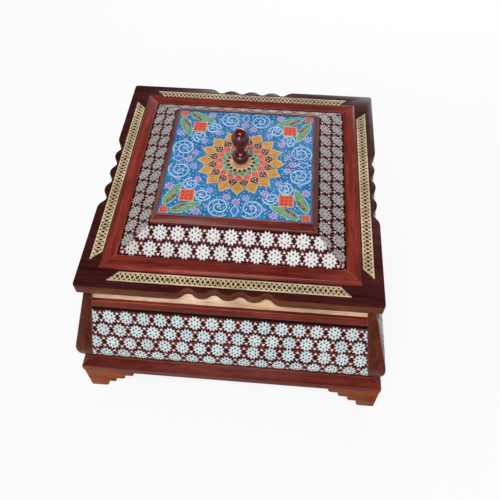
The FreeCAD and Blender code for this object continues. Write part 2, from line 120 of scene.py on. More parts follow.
# Plinth rails: four solid lengths with a bevelled top edge, mitred and glued round the base panel.
# Beech or plane wood, stained red-brown and lacquered, lighter along the rounded edges, where the stain is
# rubbed thin and a highlight is painted in.
MM = 0.001
MERGE = 1e-6
SIDES = ("front", "right", "back", "left")
ALONG = {"front": "X", "right": "Y", "back": "X", "left": "Y"}


def both_runs(name, dark, light, *finish, **gloss):
    # Boards run along X at the front and back and along Y at the sides, so each stain is made for both.
    return {run: lacquered_wood(f"{name}_{run}", dark, light, run, *finish, **gloss) for run in "XY"}


def rounded_over(node, body, face, edge, radius, upright=0):
    # A copy of the sawn piece with its edges rubbed round. The rounded edges take the second finish, a
    # lighter one that is wear and a painted highlight together; faces whose normal rises less than upright
    # take it too.
    shape = bmesh.new()
    shape.from_mesh(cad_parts[node].data)
    bmesh.ops.remove_doubles(shape, verts=shape.verts, dist=MERGE)
    bmesh.ops.dissolve_limit(
        shape, angle_limit=math.radians(1.5), use_dissolve_boundaries=False,
        verts=shape.verts, edges=shape.edges)
    mesh = bpy.data.meshes.new(node + "_worked")
    shape.to_mesh(mesh)
    shape.free()
    mesh.materials.append(face)
    mesh.materials.append(edge)
    mesh.polygons.foreach_set("material_index", [0] * len(mesh.polygons))
    mesh.polygons.foreach_set("use_smooth", [True] * len(mesh.polygons))
    piece = bpy.data.objects.new(node + "_worked", mesh)
    bpy.context.collection.objects.link(piece)
    rounding = piece.modifiers.new("rounded_edges", "BEVEL")
    rounding.width = radius
    rounding.segments = 3
    rounding.limit_method = "ANGLE"
    rounding.angle_limit = math.radians(32)
    rounding.use_clamp_overlap = True
    rounding.harden_normals = True
    # The rounded edges take slot 1: the lighter finish of wear and painted highlight.
    rounding.material = 1
    piece.data = bpy.data.meshes.new_from_object(piece.evaluated_get(bpy.context.evaluated_depsgraph_get()))
    piece.modifiers.clear()
    for flat in piece.data.polygons:
        if abs(flat.normal.z) < upright:
            flat.material_index = 1
    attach(piece, body)
    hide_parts(node)


plinth_stain = both_runs("red_stained_plinth", "#521a14", "#722c22", 0.3, 0.03, shine=0.03)
# Edge finish: a lighter brown that is the stain rubbed thin and a painted highlight.
plinth_wear_and_highlight = both_runs("worn_and_highlit_plinth_edge", "#6c2e22", "#8c4838", 0.3, 0.1)
for side in SIDES:
    run = ALONG[side]
    rounded_over("plinth_rail_" + side, "box", plinth_stain[run], plinth_wear_and_highlight[run], 0.6 * MM)


# Bracket feet: two short boards with a stepped scroll edge meet in a mitre at each corner under the plinth.
# The same wood in a lighter orange-brown stain, band-sawn and lacquered, and lighter still on the rounded
# edges as wear and a painted highlight.
foot_stain = both_runs("orange_stained_foot", "#6e2c06", "#984a12", 0.34, 0.02, shine=0.02)
# Edge finish: a lighter orange-brown that is wear and a painted highlight.
foot_wear_and_highlight = both_runs("worn_and_highlit_foot_edge", "#8c4416", "#b0682e", 0.34, 0.02, shine=0.02)
for side in SIDES:
    run = ALONG[side]
    for end in ("left", "right"):
        node = f"foot_board_{end}_{side}"
        rounded_over(node, "box", foot_stain[run], foot_wear_and_highlight[run], 0.5 * MM)


# Wall boards: four boards shaped to a flare that rounds under at the foot, mitred and glued at the corners.
# Pale plane wood that shows bare under the lid, as a light band above the top rail, and inside the box.
pale_wood = both_runs("bare_plane_wood", "#d8ac88", "#ecccb0", 0.45, 0.0)
for side in SIDES:
    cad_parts["wall_board_" + side].material_slots[0].material = pale_wood[ALONG[side]]


# Corner posts: shaped strips glued over the mitred corners, covering the ends of the mosaic.
# Red-brown stained wood, scraped to the wall's curve and lacquered, with lighter rounded edges that are wear
# and a painted highlight.
post_stain = lacquered_wood("red_stained_post", "#42160e", "#602a1a", "Z", 0.3, 0.04, shine=0.04)
# Edge finish: a lighter red-brown that is wear and a painted highlight.
post_wear_and_highlight = lacquered_wood("worn_and_highlit_post_edge", "#6d3022", "#8c4a34", "Z", 0.3, 0.1)
for corner in ("front_right", "back_right", "back_left", "front_left"):
    rounded_over("corner_post_" + corner, "box", post_stain, post_wear_and_highlight, 0.5 * MM)


# Wall mosaic: thin slices of glued rods, bone stars set in dark wood, laid as a veneer on the flared wall
# and lacquered. Two strips of two rows each run round every side, a little out of step, and a black line
# finishes the upper edge, drawn wide so that it is also the painted shade under the top rail.
def inlaid(name, light, dark, speck_mm, roughness, shine=0.25):
    # Sliced rods under lacquer: each little piece takes its own shade, and end grain leaves a fine speckle,
    # drawn coarser than it is so that it shows.
    material, tree, shader = new_finish(name)
    place = add(tree, "ShaderNodeTexCoord").outputs["Object"]
    tint = add(tree, "ShaderNodeAttribute", attribute_name="tint").outputs["Fac"]
    speckle = add(tree, "ShaderNodeTexNoise", {"Vector": place, "Scale": 1000 / speck_mm, "Detail": 1})
    spread = add(tree, "ShaderNodeMapRange", {
        "Value": speckle, "From Min": 0.35, "From Max": 0.65, "To Min": -0.3, "To Max": 0.3})
    mixed = add(tree, "ShaderNodeMath", {0: tint, 1: spread}, operation="ADD", use_clamp=True)
    colour = add(tree, "ShaderNodeMix", {
        0: mixed, 6: linear(dark), 7: linear(light)}, data_type="RGBA").outputs[2]
    gloss = add(tree, "ShaderNodeMapRange", {
        "Value": speckle, "From Min": 0.3, "From Max": 0.7, "To Min": roughness, "To Max": roughness + 0.1})
    connect(tree, shader, {
        "Base Color": colour, "Roughness": gloss, "IOR": LACQUER_IOR, "Specular IOR Level": shine})
    return material


def new_tree(name, sizes):
    tree = bpy.data.node_groups.new(name, "GeometryNodeTree")
    tree.interface.new_socket("Geometry", in_out="OUTPUT", socket_type="NodeSocketGeometry")
    for size, kind in sizes.items():
        tree.interface.new_socket(size, in_out="INPUT", socket_type="NodeSocket" + kind)
    return tree


def tessera(tree, flat, height, material):
    # A flat outline raised to a closed little slab.
    raised = add(tree, "GeometryNodeExtrudeMesh", {
        "Mesh": flat, "Offset Scale": height, "Individual": False}, mode="FACES")
    under = add(tree, "GeometryNodeFlipFaces", {"Mesh": flat})
    both = add(tree, "GeometryNodeJoinGeometry", {0: [raised, under]})
    closed = add(tree, "GeometryNodeMergeByDistance", {"Geometry": both, "Distance": MERGE})
    return add(tree, "GeometryNodeSetMaterial", {"Geometry": closed, "Material": material})


def star_mosaic(name, bone, dot, dark, pink):
    tree = new_tree(name, {
        "Pitch": "Float", "Row Step": "Float", "Columns": "Int", "Rows": "Int", "First Row": "Float",
        "Shift": "Float", "Star Radius": "Float", "Star Stretch": "Float", "Dot Radius": "Float",
        "Oval Radius": "Float", "Wedge Radius": "Float", "Height": "Float"})
    given = add(tree, "NodeGroupInput").outputs
    cell = add(tree, "ShaderNodeCombineXYZ", {0: given["Pitch"], 1: given["Row Step"]})
    stretch = add(tree, "ShaderNodeCombineXYZ", {0: 1.0, 1: given["Star Stretch"], 2: 1.0})

    # A twelve-pointed star: every second point of a 24-sided disc is drawn in.
    disc = add(tree, "GeometryNodeMeshCircle", {
        "Vertices": 24, "Radius": given["Star Radius"]}, fill_type="TRIANGLE_FAN")
    index = add(tree, "GeometryNodeInputIndex")
    odd = add(tree, "ShaderNodeMath", {0: index, 1: 2.0}, operation="MODULO")
    drawn_in = add(tree, "ShaderNodeMapRange", {"Value": odd, "To Min": 0.69, "To Max": 1.0})
    at = add(tree, "GeometryNodeInputPosition")
    pulled = add(tree, "ShaderNodeVectorMath", {0: at, "Scale": drawn_in}, operation="SCALE")
    outline = add(tree, "GeometryNodeSetPosition", {"Geometry": disc, "Position": pulled})
    star = tessera(tree, outline, given["Height"], bone)

    # Six dark rod ends in the star.
    ring_radius = add(tree, "ShaderNodeMath", {0: given["Star Radius"], 1: 0.45}, operation="MULTIPLY")
    ring = add(tree, "GeometryNodeMeshCircle", {"Vertices": 6, "Radius": ring_radius})
    ring = add(tree, "GeometryNodeTransform", {"Geometry": ring, "Rotation": (0, 0, math.radians(30))})
    rod_end = add(tree, "GeometryNodeMeshCircle", {
        "Vertices": 6, "Radius": given["Dot Radius"]}, fill_type="NGON")
    proud = add(tree, "ShaderNodeMath", {0: given["Height"], 1: 1.35}, operation="MULTIPLY")
    rod_end = tessera(tree, rod_end, proud, dot)
    dots = add(tree, "GeometryNodeInstanceOnPoints", {"Points": ring, "Instance": rod_end})
    flower = add(tree, "GeometryNodeJoinGeometry", {0: [star, dots]})
    flower = add(tree, "GeometryNodeTransform", {"Geometry": flower, "Scale": stretch})

    # Dark ovals half way to the next stars, and pink wedges where three stars meet.
    oval = add(tree, "GeometryNodeMeshCircle", {
        "Vertices": 10, "Radius": given["Oval Radius"]}, fill_type="NGON")
    oval = tessera(tree, oval, given["Height"], dark)
    oval = add(tree, "GeometryNodeTransform", {"Geometry": oval, "Scale": (0.9, 1.3, 0.8)})
    wedge = add(tree, "GeometryNodeMeshCircle", {
        "Vertices": 3, "Radius": given["Wedge Radius"]}, fill_type="NGON")
    wedge = tessera(tree, wedge, given["Height"], pink)
    parts = [flower]
    for piece, share, turn in (
            (oval, (0.5, 0, 0), 0), (oval, (0.25, 0.5, 0), 60), (oval, (-0.25, 0.5, 0), -60),
            (wedge, (0.5, -0.29, 0), -90), (wedge, (0.5, 0.29, 0), 90)):
        to = add(tree, "ShaderNodeVectorMath", {0: cell, 1: share}, operation="MULTIPLY")
        parts.append(add(tree, "GeometryNodeTransform", {
            "Geometry": piece, "Translation": to, "Rotation": (0, 0, math.radians(turn))}))
    repeat = add(tree, "GeometryNodeJoinGeometry", {0: parts})

    # Rows of cells, every other row moved along by half a pitch.
    spans = [add(tree, "ShaderNodeMath", {0: count, 1: -1.0}) for count in (given["Columns"], given["Rows"])]
    span = add(tree, "ShaderNodeCombineXYZ", {0: spans[0], 1: spans[1]})
    size = add(tree, "ShaderNodeVectorMath", {0: span, 1: cell}, operation="MULTIPLY")
    size = add(tree, "ShaderNodeSeparateXYZ", {0: size}).outputs
    grid = add(tree, "GeometryNodeMeshGrid", {
        "Size X": size[0], "Size Y": size[1], "Vertices X": given["Columns"], "Vertices Y": given["Rows"]})
    deep = add(tree, "ShaderNodeMath", {0: size[1], 1: 0.5}, operation="MULTIPLY")
    down = add(tree, "ShaderNodeMath", {0: deep, 1: given["First Row"]})
    at_row = add(tree, "ShaderNodeSeparateXYZ", {0: add(tree, "GeometryNodeInputPosition")}).outputs[1]
    from_top = add(tree, "ShaderNodeMath", {0: at_row, 1: deep})
    row = add(tree, "ShaderNodeMath", {0: from_top, 1: given["Row Step"]}, operation="DIVIDE")
    row = add(tree, "ShaderNodeMath", {0: row}, operation="ROUND")
    other = add(tree, "ShaderNodeMath", {0: row, 1: 2.0}, operation="MODULO")
    half = add(tree, "ShaderNodeMath", {0: given["Pitch"], 1: 0.5}, operation="MULTIPLY")
    aside = add(tree, "ShaderNodeMath", {0: other, 1: half, 2: given["Shift"]}, operation="MULTIPLY_ADD")
    move = add(tree, "ShaderNodeCombineXYZ", {0: aside, 1: down})
    lattice = add(tree, "GeometryNodeSetPosition", {"Geometry": grid, "Offset": move})
    laid_out = add(tree, "GeometryNodeInstanceOnPoints", {"Points": lattice, "Instance": repeat})
    shade = add(tree, "FunctionNodeRandomValue", {2: 0.45, 3: 0.9, "Seed": 7}, data_type="FLOAT").outputs[1]
    shaded = add(tree, "GeometryNodeStoreNamedAttribute", {
        "Geometry": laid_out, "Name": "tint", "Value": shade}, data_type="FLOAT", domain="INSTANCE")
    real = add(tree, "GeometryNodeRealizeInstances", {"Geometry": shaded})
    add(tree, "NodeGroupOutput", {0: real})
    return tree


def laid(tree, sizes):
    # The pattern as a plain mesh, made on a bench object that is cleared away.
    bench = bpy.data.objects.new(tree.name, bpy.data.meshes.new(tree.name))
    bpy.context.collection.objects.link(bench)
    pattern = bench.modifiers.new("pattern", "NODES")
    pattern.node_group = tree
    for item in tree.interface.items_tree:
        if item.in_out == "INPUT":
            pattern[item.identifier] = sizes[item.name]
    mesh = bpy.data.meshes.new_from_object(bench.evaluated_get(bpy.context.evaluated_depsgraph_get()))
    bpy.data.objects.remove(bench)
    return mesh


def trimmed(shape, point, outward):
    # What lies beyond a plane is cut off, and the cut is closed.
    everything = shape.verts[:] + shape.edges[:] + shape.faces[:]
    bmesh.ops.bisect_plane(shape, geom=everything, plane_co=point, plane_no=outward, clear_outer=True)
    bmesh.ops.holes_fill(shape, edges=[e for e in shape.edges if e.is_boundary], sides=0)


def cut_out(shape, name):
    # Laying a pattern on a side can turn its pieces inside out, so they are faced outwards again.
    shape.normal_update()
    bmesh.ops.recalc_face_normals(shape, faces=shape.faces)
    mesh = bpy.data.meshes.new(name)
    shape.to_mesh(mesh)
    shape.free()
    return mesh


def laid_on(name, mesh, body):
    piece = bpy.data.objects.new(name, mesh)
    bpy.context.collection.objects.link(piece)
    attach(piece, body)


def round_the_box(name, body, side, materials):
    # The same side four times, a quarter turn on each time.
    mesh = bpy.data.meshes.new(name)
    whole = bmesh.new()
    for turn in range(4):
        before = len(whole.verts)
        whole.from_mesh(side)
        whole.verts.ensure_lookup_table()
        bmesh.ops.rotate(whole, cent=(0, 0, 0), matrix=Matrix.Rotation(math.radians(90 * turn), 3, "Z"),
                         verts=whole.verts[before:])
    whole.to_mesh(mesh)
    whole.free()
    for material in materials:
        mesh.materials.append(material)
    laid_on(name, mesh, body)


LINE_THICK = 0.26 * MM


def edge_line(shape, length, near, far, material_index):
    # A strip along the veneer's edge, half sunk in the ground.
    corners = bmesh.ops.create_cube(shape, size=1)["verts"]
    for vertex in corners:
        x, y, z = vertex.co
        vertex.co = Vector((x * length, (near + far) / 2 + y * (far - near), z * LINE_THICK))
    for face in {face for vertex in corners for face in vertex.link_faces}:
        face.material_index = material_index
    return corners


bone_star = inlaid("lacquered_bone_star", "#ccd6d8", "#a4b0b4", 0.9, 0.25)
rod_end = inlaid("dark_green_rod_end", "#2a4644", "#1b2f30", 0.6, 0.4, 0.1)
dark_oval = inlaid("black_wood_oval", "#2c1410", "#140808", 0.6, 0.4, 0.06)
pink_wedge = inlaid("pink_bone_wedge", "#f6d4ce", "#e0a8a0", 0.6, 0.4, 0.1)
# Black line: the veneer's edge line, and painted shade along the top rail and the lid's mouldings.
black_line_and_shade = inlaid("black_wood_line_and_painted_shade", "#180909", "#0c0505", 0.6, 0.4, 0.04)
mosaic_ground = lacquered_wood("dark_red_mosaic_ground", "#2c0f10", "#7c3431", "Z", 0.4, 0.0, 1.1, 0.5, 0.05)
wall_tree = star_mosaic("wall_star_mosaic", bone_star, rod_end, dark_oval, pink_wedge)

RAIL_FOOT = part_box("top_rail_front")[0].z
WALL_FOOT, WALL_TOP = (corner.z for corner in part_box("wall_board_front"))
FLARE = math.radians(15.2)
FLARE_HEIGHT = 68 * MM
BELLY = 36 * MM
POST_EDGE_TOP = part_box("corner_post_front_right")[0].x
POST_EDGE_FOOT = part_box("wall_inlay_front")[1].x
POST_COVER = 6.3 * MM
SKIN_AT_TOP = POST_EDGE_TOP + POST_COVER


def on_wall(flat):
    # The wall's face runs straight out at the flare and then turns in on the belly's arc.
    bend = (FLARE_HEIGHT - WALL_TOP + RAIL_FOOT) / math.cos(FLARE)
    out = SKIN_AT_TOP + (WALL_TOP - RAIL_FOOT) * math.tan(FLARE)
    if flat.y <= bend:
        across = out + flat.y * math.sin(FLARE) + flat.z * math.cos(FLARE)
        return Vector((flat.x, -across, RAIL_FOOT - flat.y * math.cos(FLARE) + flat.z * math.sin(FLARE)))
    turned = FLARE - (flat.y - bend) / BELLY
    centre = out + bend * math.sin(FLARE) - BELLY * math.cos(FLARE)
    height = RAIL_FOOT - bend * math.cos(FLARE) - BELLY * math.sin(FLARE)
    across = centre + (BELLY + flat.z) * math.cos(turned)
    return Vector((flat.x, -across, height + (BELLY + flat.z) * math.sin(turned)))


# Both strips' sizes are in millimetres, measured down the wall from the top rail.
POST_GAP = 0.2 * MM
post_lean = Vector((WALL_TOP - WALL_FOOT, 0, POST_EDGE_FOOT - POST_EDGE_TOP)).normalized()
wall_side = bmesh.new()
for pitch, first_row, top, foot, shift in ((14.2, 12.0, 2.8, 35.4, 1.0), (15.0, 43.2, 35.5, 67.2, 5.8)):
    strip = bmesh.new()
    veneer = laid(wall_tree, {
        "Pitch": pitch * MM, "Row Step": 15.6 * MM, "Columns": 19, "Rows": 2, "First Row": first_row * MM,
        "Shift": shift * MM, "Star Radius": 6.15 * MM, "Star Stretch": 1.38, "Dot Radius": 0.8 * MM,
        "Oval Radius": 1.75 * MM, "Wedge Radius": 1.7 * MM, "Height": 0.2 * MM})
    strip.from_mesh(veneer)
    trimmed(strip, (0, top * MM, 0), (0, -1, 0))
    trimmed(strip, (0, foot * MM, 0), (0, 1, 0))
    for vertex in strip.verts:
        vertex.co = on_wall(vertex.co)
    for way in (1, -1):
        trimmed(strip, (way * (POST_EDGE_TOP - POST_GAP), 0, WALL_TOP), (way * post_lean.x, 0, post_lean.z))
    wall_side.from_mesh(cut_out(strip, "wall_strip"))
black = len(veneer.materials)
# The black line along the top edge is drawn over 4 mm wide, so that it is also the painted shade under the
# top rail.
for vertex in edge_line(wall_side, length=223 * MM, near=0.1 * MM, far=4.3 * MM, material_index=black):
    vertex.co = on_wall(vertex.co)
wall_side = cut_out(wall_side, "wall_side")
round_the_box("wall_star_mosaic", "box", wall_side, [*veneer.materials, black_line_and_shade])
for side in SIDES:
    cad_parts["wall_inlay_" + side].material_slots[0].material = mosaic_ground


# Top rails: narrow strips that stand a little proud, glued along the upper edge of the mosaic to hide where
# the veneer stops. Red-brown stain and lacquer like the plinth, with lighter rounded edges as wear and
# painted highlight.
rail_stain = both_runs("red_stained_rail", "#601c14", "#823426", 0.3, 0.05, shine=0.05)
# Edge finish: a lighter red-brown that is wear and a painted highlight.
rail_wear_and_highlight = both_runs("worn_and_highlit_rail_edge", "#7d3428", "#9a5140", 0.3, 0.1)
for side in SIDES:
    run = ALONG[side]
    rounded_over("top_rail_" + side, "box", rail_stain[run], rail_wear_and_highlight[run], 0.5 * MM)


# Lid board: one broad board whose edge is band-sawn in shallow scallops between straight corners, with
# battens glued underneath that drop into the box's mouth. Dark purple-brown stain and lacquer; its upright
# edge faces and rounded arrises are a lighter brown, which on the arrises is wear and a painted highlight.
flange_stain = lacquered_wood("purple_brown_lid_board", "#341012", "#502020", "X", 0.3, 0.08)
# Edge finish: a lighter brown on the edge faces, and wear with a painted highlight on the arrises.
flange_wear_and_highlight = lacquered_wood("worn_and_highlit_lid_edge", "#4a2010", "#6e3a1c", "X", 0.3, 0.04, shine=0.03)
rounded_over("flange_board", "lid", flange_stain, flange_wear_and_highlight, 0.8 * MM, upright=0.5)
for side in SIDES:
    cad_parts["lid_batten_" + side].material_slots[0].material = planed_beech


# Border strips: ready-made marquetry banding glued into grooves of the lid board, short of the corners. Cream
# wood with red-brown six-sided blocks and dark green lozenges turn about, and dark wedges along both edges.
def banding(name, red, green, black):
    tree = new_tree(name, {
        "Step": "Float", "Count": "Int", "Block Radius": "Float", "Lozenge Radius": "Float",
        "Wedge Radius": "Float", "Edge": "Float", "Height": "Float"})
    given = add(tree, "NodeGroupInput").outputs
    parts = []
    for sides, radius, material, squash in (
            (6, given["Block Radius"], red, (0.9, 1.0, 1.0)),
            (4, given["Lozenge Radius"], green, (0.58, 1.0, 1.0))):
        flat = add(tree, "GeometryNodeMeshCircle", {"Vertices": sides, "Radius": radius}, fill_type="NGON")
        solid = tessera(tree, flat, given["Height"], material)
        parts.append(add(tree, "GeometryNodeTransform", {"Geometry": solid, "Scale": squash}))
    half = add(tree, "ShaderNodeMath", {0: given["Step"], 1: 0.5}, operation="MULTIPLY")
    along = add(tree, "ShaderNodeCombineXYZ", {0: half})
    parts[1] = add(tree, "GeometryNodeTransform", {"Geometry": parts[1], "Translation": along})
    flat = add(tree, "GeometryNodeMeshCircle", {
        "Vertices": 3, "Radius": given["Wedge Radius"]}, fill_type="NGON")
    wedge = tessera(tree, flat, given["Height"], black)
    for share in (0.25, 0.75):
        for way in (1, -1):
            x = add(tree, "ShaderNodeMath", {0: given["Step"], 1: share}, operation="MULTIPLY")
            y = add(tree, "ShaderNodeMath", {0: given["Edge"], 1: float(way)}, operation="MULTIPLY")
            to = add(tree, "ShaderNodeCombineXYZ", {0: x, 1: y})
            parts.append(add(tree, "GeometryNodeTransform", {
                "Geometry": wedge, "Translation": to, "Rotation": (0, 0, math.radians(-90 * way))}))
    repeat = add(tree, "GeometryNodeJoinGeometry", {0: parts})
    steps = add(tree, "ShaderNodeMath", {0: given["Count"], 1: -0.5}, operation="MULTIPLY")
    start = add(tree, "ShaderNodeMath", {0: steps, 1: given["Step"]}, operation="MULTIPLY")
    line = add(tree, "GeometryNodeMeshLine", {
        "Count": given["Count"],
        "Start Location": add(tree, "ShaderNodeCombineXYZ", {0: start}),
        "Offset": add(tree, "ShaderNodeCombineXYZ", {0: given["Step"]})})
    row = add(tree, "GeometryNodeInstanceOnPoints", {"Points": line, "Instance": repeat})
    shade = add(tree, "FunctionNodeRandomValue", {2: 0.2, 3: 0.8, "Seed": 3}, data_type="FLOAT").outputs[1]
    shaded = add(tree, "GeometryNodeStoreNamedAttribute", {
        "Geometry": row, "Name": "tint", "Value": shade}, data_type="FLOAT", domain="INSTANCE")
    add(tree, "NodeGroupOutput", {0: add(tree, "GeometryNodeRealizeInstances", {"Geometry": shaded})})
    return tree


cream_wood = lacquered_wood("cream_boxwood_banding", "#dac49a", "#eedcb6", "X", 0.3, 0.05)
red_block = inlaid("red_wood_block", "#804230", "#54241c", 0.6, 0.3, 0.1)
green_lozenge = inlaid("dark_green_lozenge", "#263a22", "#101c10", 0.6, 0.3, 0.1)
dark_wedge = inlaid("dark_brown_wedge", "#443220", "#20140e", 0.6, 0.3, 0.1)
border_tree = banding("border_banding", red_block, green_lozenge, dark_wedge)
low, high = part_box("border_strip_front")
strip_middle = (low.y + high.y) / 2
border = bmesh.new()
blocks = laid(border_tree, {
    "Step": 7.9 * MM, "Count": 26, "Block Radius": 1.75 * MM, "Lozenge Radius": 2.15 * MM,
    "Wedge Radius": 1.35 * MM, "Edge": 2.35 * MM, "Height": 0.12 * MM})
border.from_mesh(blocks)
for vertex in border.verts:
    vertex.co += Vector((0, strip_middle, high.z))
STRIP_MARGIN = 0.5 * MM
for way in (1, -1):
    trimmed(border, (way * (high.x - STRIP_MARGIN), low.y, 0), (way, 1, 0))
border = cut_out(border, "border_side")
round_the_box("border_banding_blocks", "lid", border, blocks.materials)
for side in SIDES:
    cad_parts["border_strip_" + side].material_slots[0].material = cream_wood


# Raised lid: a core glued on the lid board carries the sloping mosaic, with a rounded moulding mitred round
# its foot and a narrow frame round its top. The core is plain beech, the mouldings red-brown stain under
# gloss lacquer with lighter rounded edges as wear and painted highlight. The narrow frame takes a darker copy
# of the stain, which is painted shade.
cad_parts["lid_core"].material_slots[0].material = planed_beech
moulding_stain = both_runs("red_stained_moulding", "#6e201a", "#9a3e32", 0.26, 0.3, shine=0.05)
# Edge finish for both: a lighter red-brown that is wear and a painted highlight.
moulding_wear_and_highlight = both_runs("worn_and_highlit_moulding_edge", "#843628", "#a45e48", 0.26, 0.3, shine=0.05)
# The centre frame's stain is the moulding's, darkened as painted shade.
frame_stain_and_shade = both_runs("red_stained_frame_painted_darker", "#541a18", "#78302a", 0.26, 0.3, shine=0.05)
for side in SIDES:
    run = ALONG[side]
    for piece, stain, radius in (
            ("frame_moulding_", moulding_stain, 0.4 * MM), ("centre_frame_", frame_stain_and_shade, 0.42 * MM)):
        rounded_over(piece + side, "lid", stain[run], moulding_wear_and_highlight[run], radius)


# Lid mosaic: the same star veneer glued on the four slopes of the raised lid in two rows, mitred at the
# corners. Its bone is warmer and glossier than the walls', and a thin black line finishes both edges, which
# also stands as painted shade along the moulding and the centre frame.
lid_bone = inlaid("lacquered_bone_lid_star", "#bab3b2", "#9c9290", 0.9, 0.24, 0.7)
lid_tree = star_mosaic("lid_star_mosaic", lid_bone, rod_end, dark_oval, pink_wedge)
slope_low, slope_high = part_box("lid_inlay_front")
SLOPE_DROP = 13.6 * MM
SLOPE_TOP = Vector((0, slope_high.y, slope_high.z))
SLOPE_FOOT = SLOPE_TOP + Vector((0, slope_low.y - slope_high.y, -SLOPE_DROP))
uphill = (SLOPE_TOP - SLOPE_FOOT).normalized()
slope = (SLOPE_TOP - SLOPE_FOOT).length
outward = Vector((0, -uphill.z, uphill.y))
lid_side = bmesh.new()
veneer = laid(lid_tree, {
    "Pitch": 14.25 * MM, "Row Step": 13.4 * MM, "Columns": 15, "Rows": 4, "First Row": -6.4 * MM,
    "Shift": -1.1 * MM, "Star Radius": 6.5 * MM, "Star Stretch": 1.1, "Dot Radius": 0.76 * MM,
    "Oval Radius": 1.6 * MM, "Wedge Radius": 1.6 * MM, "Height": 0.15 * MM})
lid_side.from_mesh(veneer)
SLOPE_MARGIN = 0.4 * MM
trimmed(lid_side, (0, SLOPE_MARGIN, 0), (0, -1, 0))
trimmed(lid_side, (0, slope - SLOPE_MARGIN, 0), (0, 1, 0))
black = len(veneer.materials)
# Black lines at the foot and top of the slope, also painted shade beside the moulding and the centre frame.
for near, far in ((0.2 * MM, 1.3 * MM), (slope - 2.0 * MM, slope - 0.2 * MM)):
    edge_line(lid_side, length=220 * MM, near=near, far=far, material_index=black)
for vertex in lid_side.verts:
    vertex.co = SLOPE_FOOT + Vector((vertex.co.x, 0, 0)) + uphill * vertex.co.y + outward * vertex.co.z
MITRE_GAP = 0.2 * MM
for way in (1, -1):
    trimmed(lid_side, (0, -MITRE_GAP, 0), (way, 1, 0))
lid_side = cut_out(lid_side, "lid_side")
round_the_box("lid_star_mosaic", "lid", lid_side, [*veneer.materials, black_line_and_shade])
for side in SIDES:
    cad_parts["lid_inlay_" + side].material_slots[0].material = mosaic_ground


# Painted panel: a square of thin board set inside the centre frame, painted by brush in blue with a
# sixteen-petalled medallion, scrolls, blossoms and corner leaves, and lacquered.
def brush_paint(name, dark, light, patch_mm, roughness=0.35):
    # Gouache under lacquer: brushed unevenly, so each colour clouds between two shades.
    material, tree, shader = new_finish(name)
    place = add(tree, "ShaderNodeTexCoord").outputs["Object"]
    clouds = add(tree, "ShaderNodeTexNoise", {
        "Vector": place, "Scale": 1000 / patch_mm, "Detail": 4, "Roughness": 0.65, "Distortion": 0.4})
    spread = add(tree, "ShaderNodeMapRange", {"Value": clouds, "From Min": 0.33, "From Max": 0.67})
    colour = add(tree, "ShaderNodeMix", {
        0: spread, 6: linear(dark), 7: linear(light)}, data_type="RGBA").outputs[2]
    gloss = add(tree, "ShaderNodeMapRange", {
        "Value": clouds, "To Min": roughness, "To Max": roughness + 0.12})
    relief = add(tree, "ShaderNodeBump", {"Height": clouds, "Strength": 0.1, "Distance": 0.0003})
    connect(tree, shader, {
        "Base Color": colour, "Roughness": gloss, "Normal": relief, "IOR": LACQUER_IOR,
        "Specular IOR Level": 0.25})
    return material


def wreath(tree, motif, count, radius, turn):
    # Copies of a motif at one distance from the middle, evenly round it, each facing outwards.
    out = add(tree, "ShaderNodeCombineXYZ", {0: radius})
    moved = add(tree, "GeometryNodeTransform", {"Geometry": motif, "Translation": out})
    middle = add(tree, "GeometryNodeMeshLine", {"Count": count, "Offset": (0, 0, 0)})
    step = add(tree, "ShaderNodeMath", {0: 2 * math.pi, 1: count}, operation="DIVIDE")
    index = add(tree, "GeometryNodeInputIndex")
    angle = add(tree, "ShaderNodeMath", {0: index, 1: step, 2: turn}, operation="MULTIPLY_ADD")
    spin = add(tree, "ShaderNodeCombineXYZ", {2: angle})
    return add(tree, "GeometryNodeInstanceOnPoints", {
        "Points": middle, "Instance": moved, "Rotation": spin})


# One dab of the brush: a kite, a dot, a petal or a pointed leaf, by its corners and its lengths in and out.
dab_tree = new_tree("brush_dabs", {
    "Copies": "Int", "Copy Radius": "Float", "Copy Turn": "Float", "Count": "Int", "Radius": "Float",
    "Turn": "Float", "Corners": "Int", "Half Width": "Float", "Inner Length": "Float",
    "Outer Length": "Float", "Sharpness": "Float", "Thickness": "Float", "Paint": "Material"})
given = add(dab_tree, "NodeGroupInput").outputs
disc = add(dab_tree, "GeometryNodeMeshCircle", {"Vertices": given["Corners"]}, fill_type="NGON")
at = add(dab_tree, "GeometryNodeInputPosition")
x, y = add(dab_tree, "ShaderNodeSeparateXYZ", {0: at}).outputs[:2]
outer = add(dab_tree, "ShaderNodeMath", {0: x, 1: 0.0}, operation="GREATER_THAN")
reach = add(dab_tree, "ShaderNodeMapRange", {
    "Value": outer, "To Min": given["Inner Length"], "To Max": given["Outer Length"]})
along = add(dab_tree, "ShaderNodeMath", {0: x, 1: reach}, operation="MULTIPLY")
broad = add(dab_tree, "ShaderNodeMath", {0: y}, operation="ABSOLUTE")
broad = add(dab_tree, "ShaderNodeMath", {0: broad, 1: given["Sharpness"]}, operation="POWER")
broad = add(dab_tree, "ShaderNodeMath", {0: broad, 1: given["Half Width"]}, operation="MULTIPLY")
way = add(dab_tree, "ShaderNodeMath", {0: y}, operation="SIGN")
across = add(dab_tree, "ShaderNodeMath", {0: broad, 1: way}, operation="MULTIPLY")
to = add(dab_tree, "ShaderNodeCombineXYZ", {0: along, 1: across})
shaped = add(dab_tree, "GeometryNodeSetPosition", {"Geometry": disc, "Position": to})
dab = tessera(dab_tree, shaped, given["Thickness"], given["Paint"])
group = wreath(dab_tree, dab, given["Count"], given["Radius"], given["Turn"])
copies = wreath(dab_tree, group, given["Copies"], given["Copy Radius"], given["Copy Turn"])
add(dab_tree, "NodeGroupOutput", {0: add(dab_tree, "GeometryNodeRealizeInstances", {0: copies})})

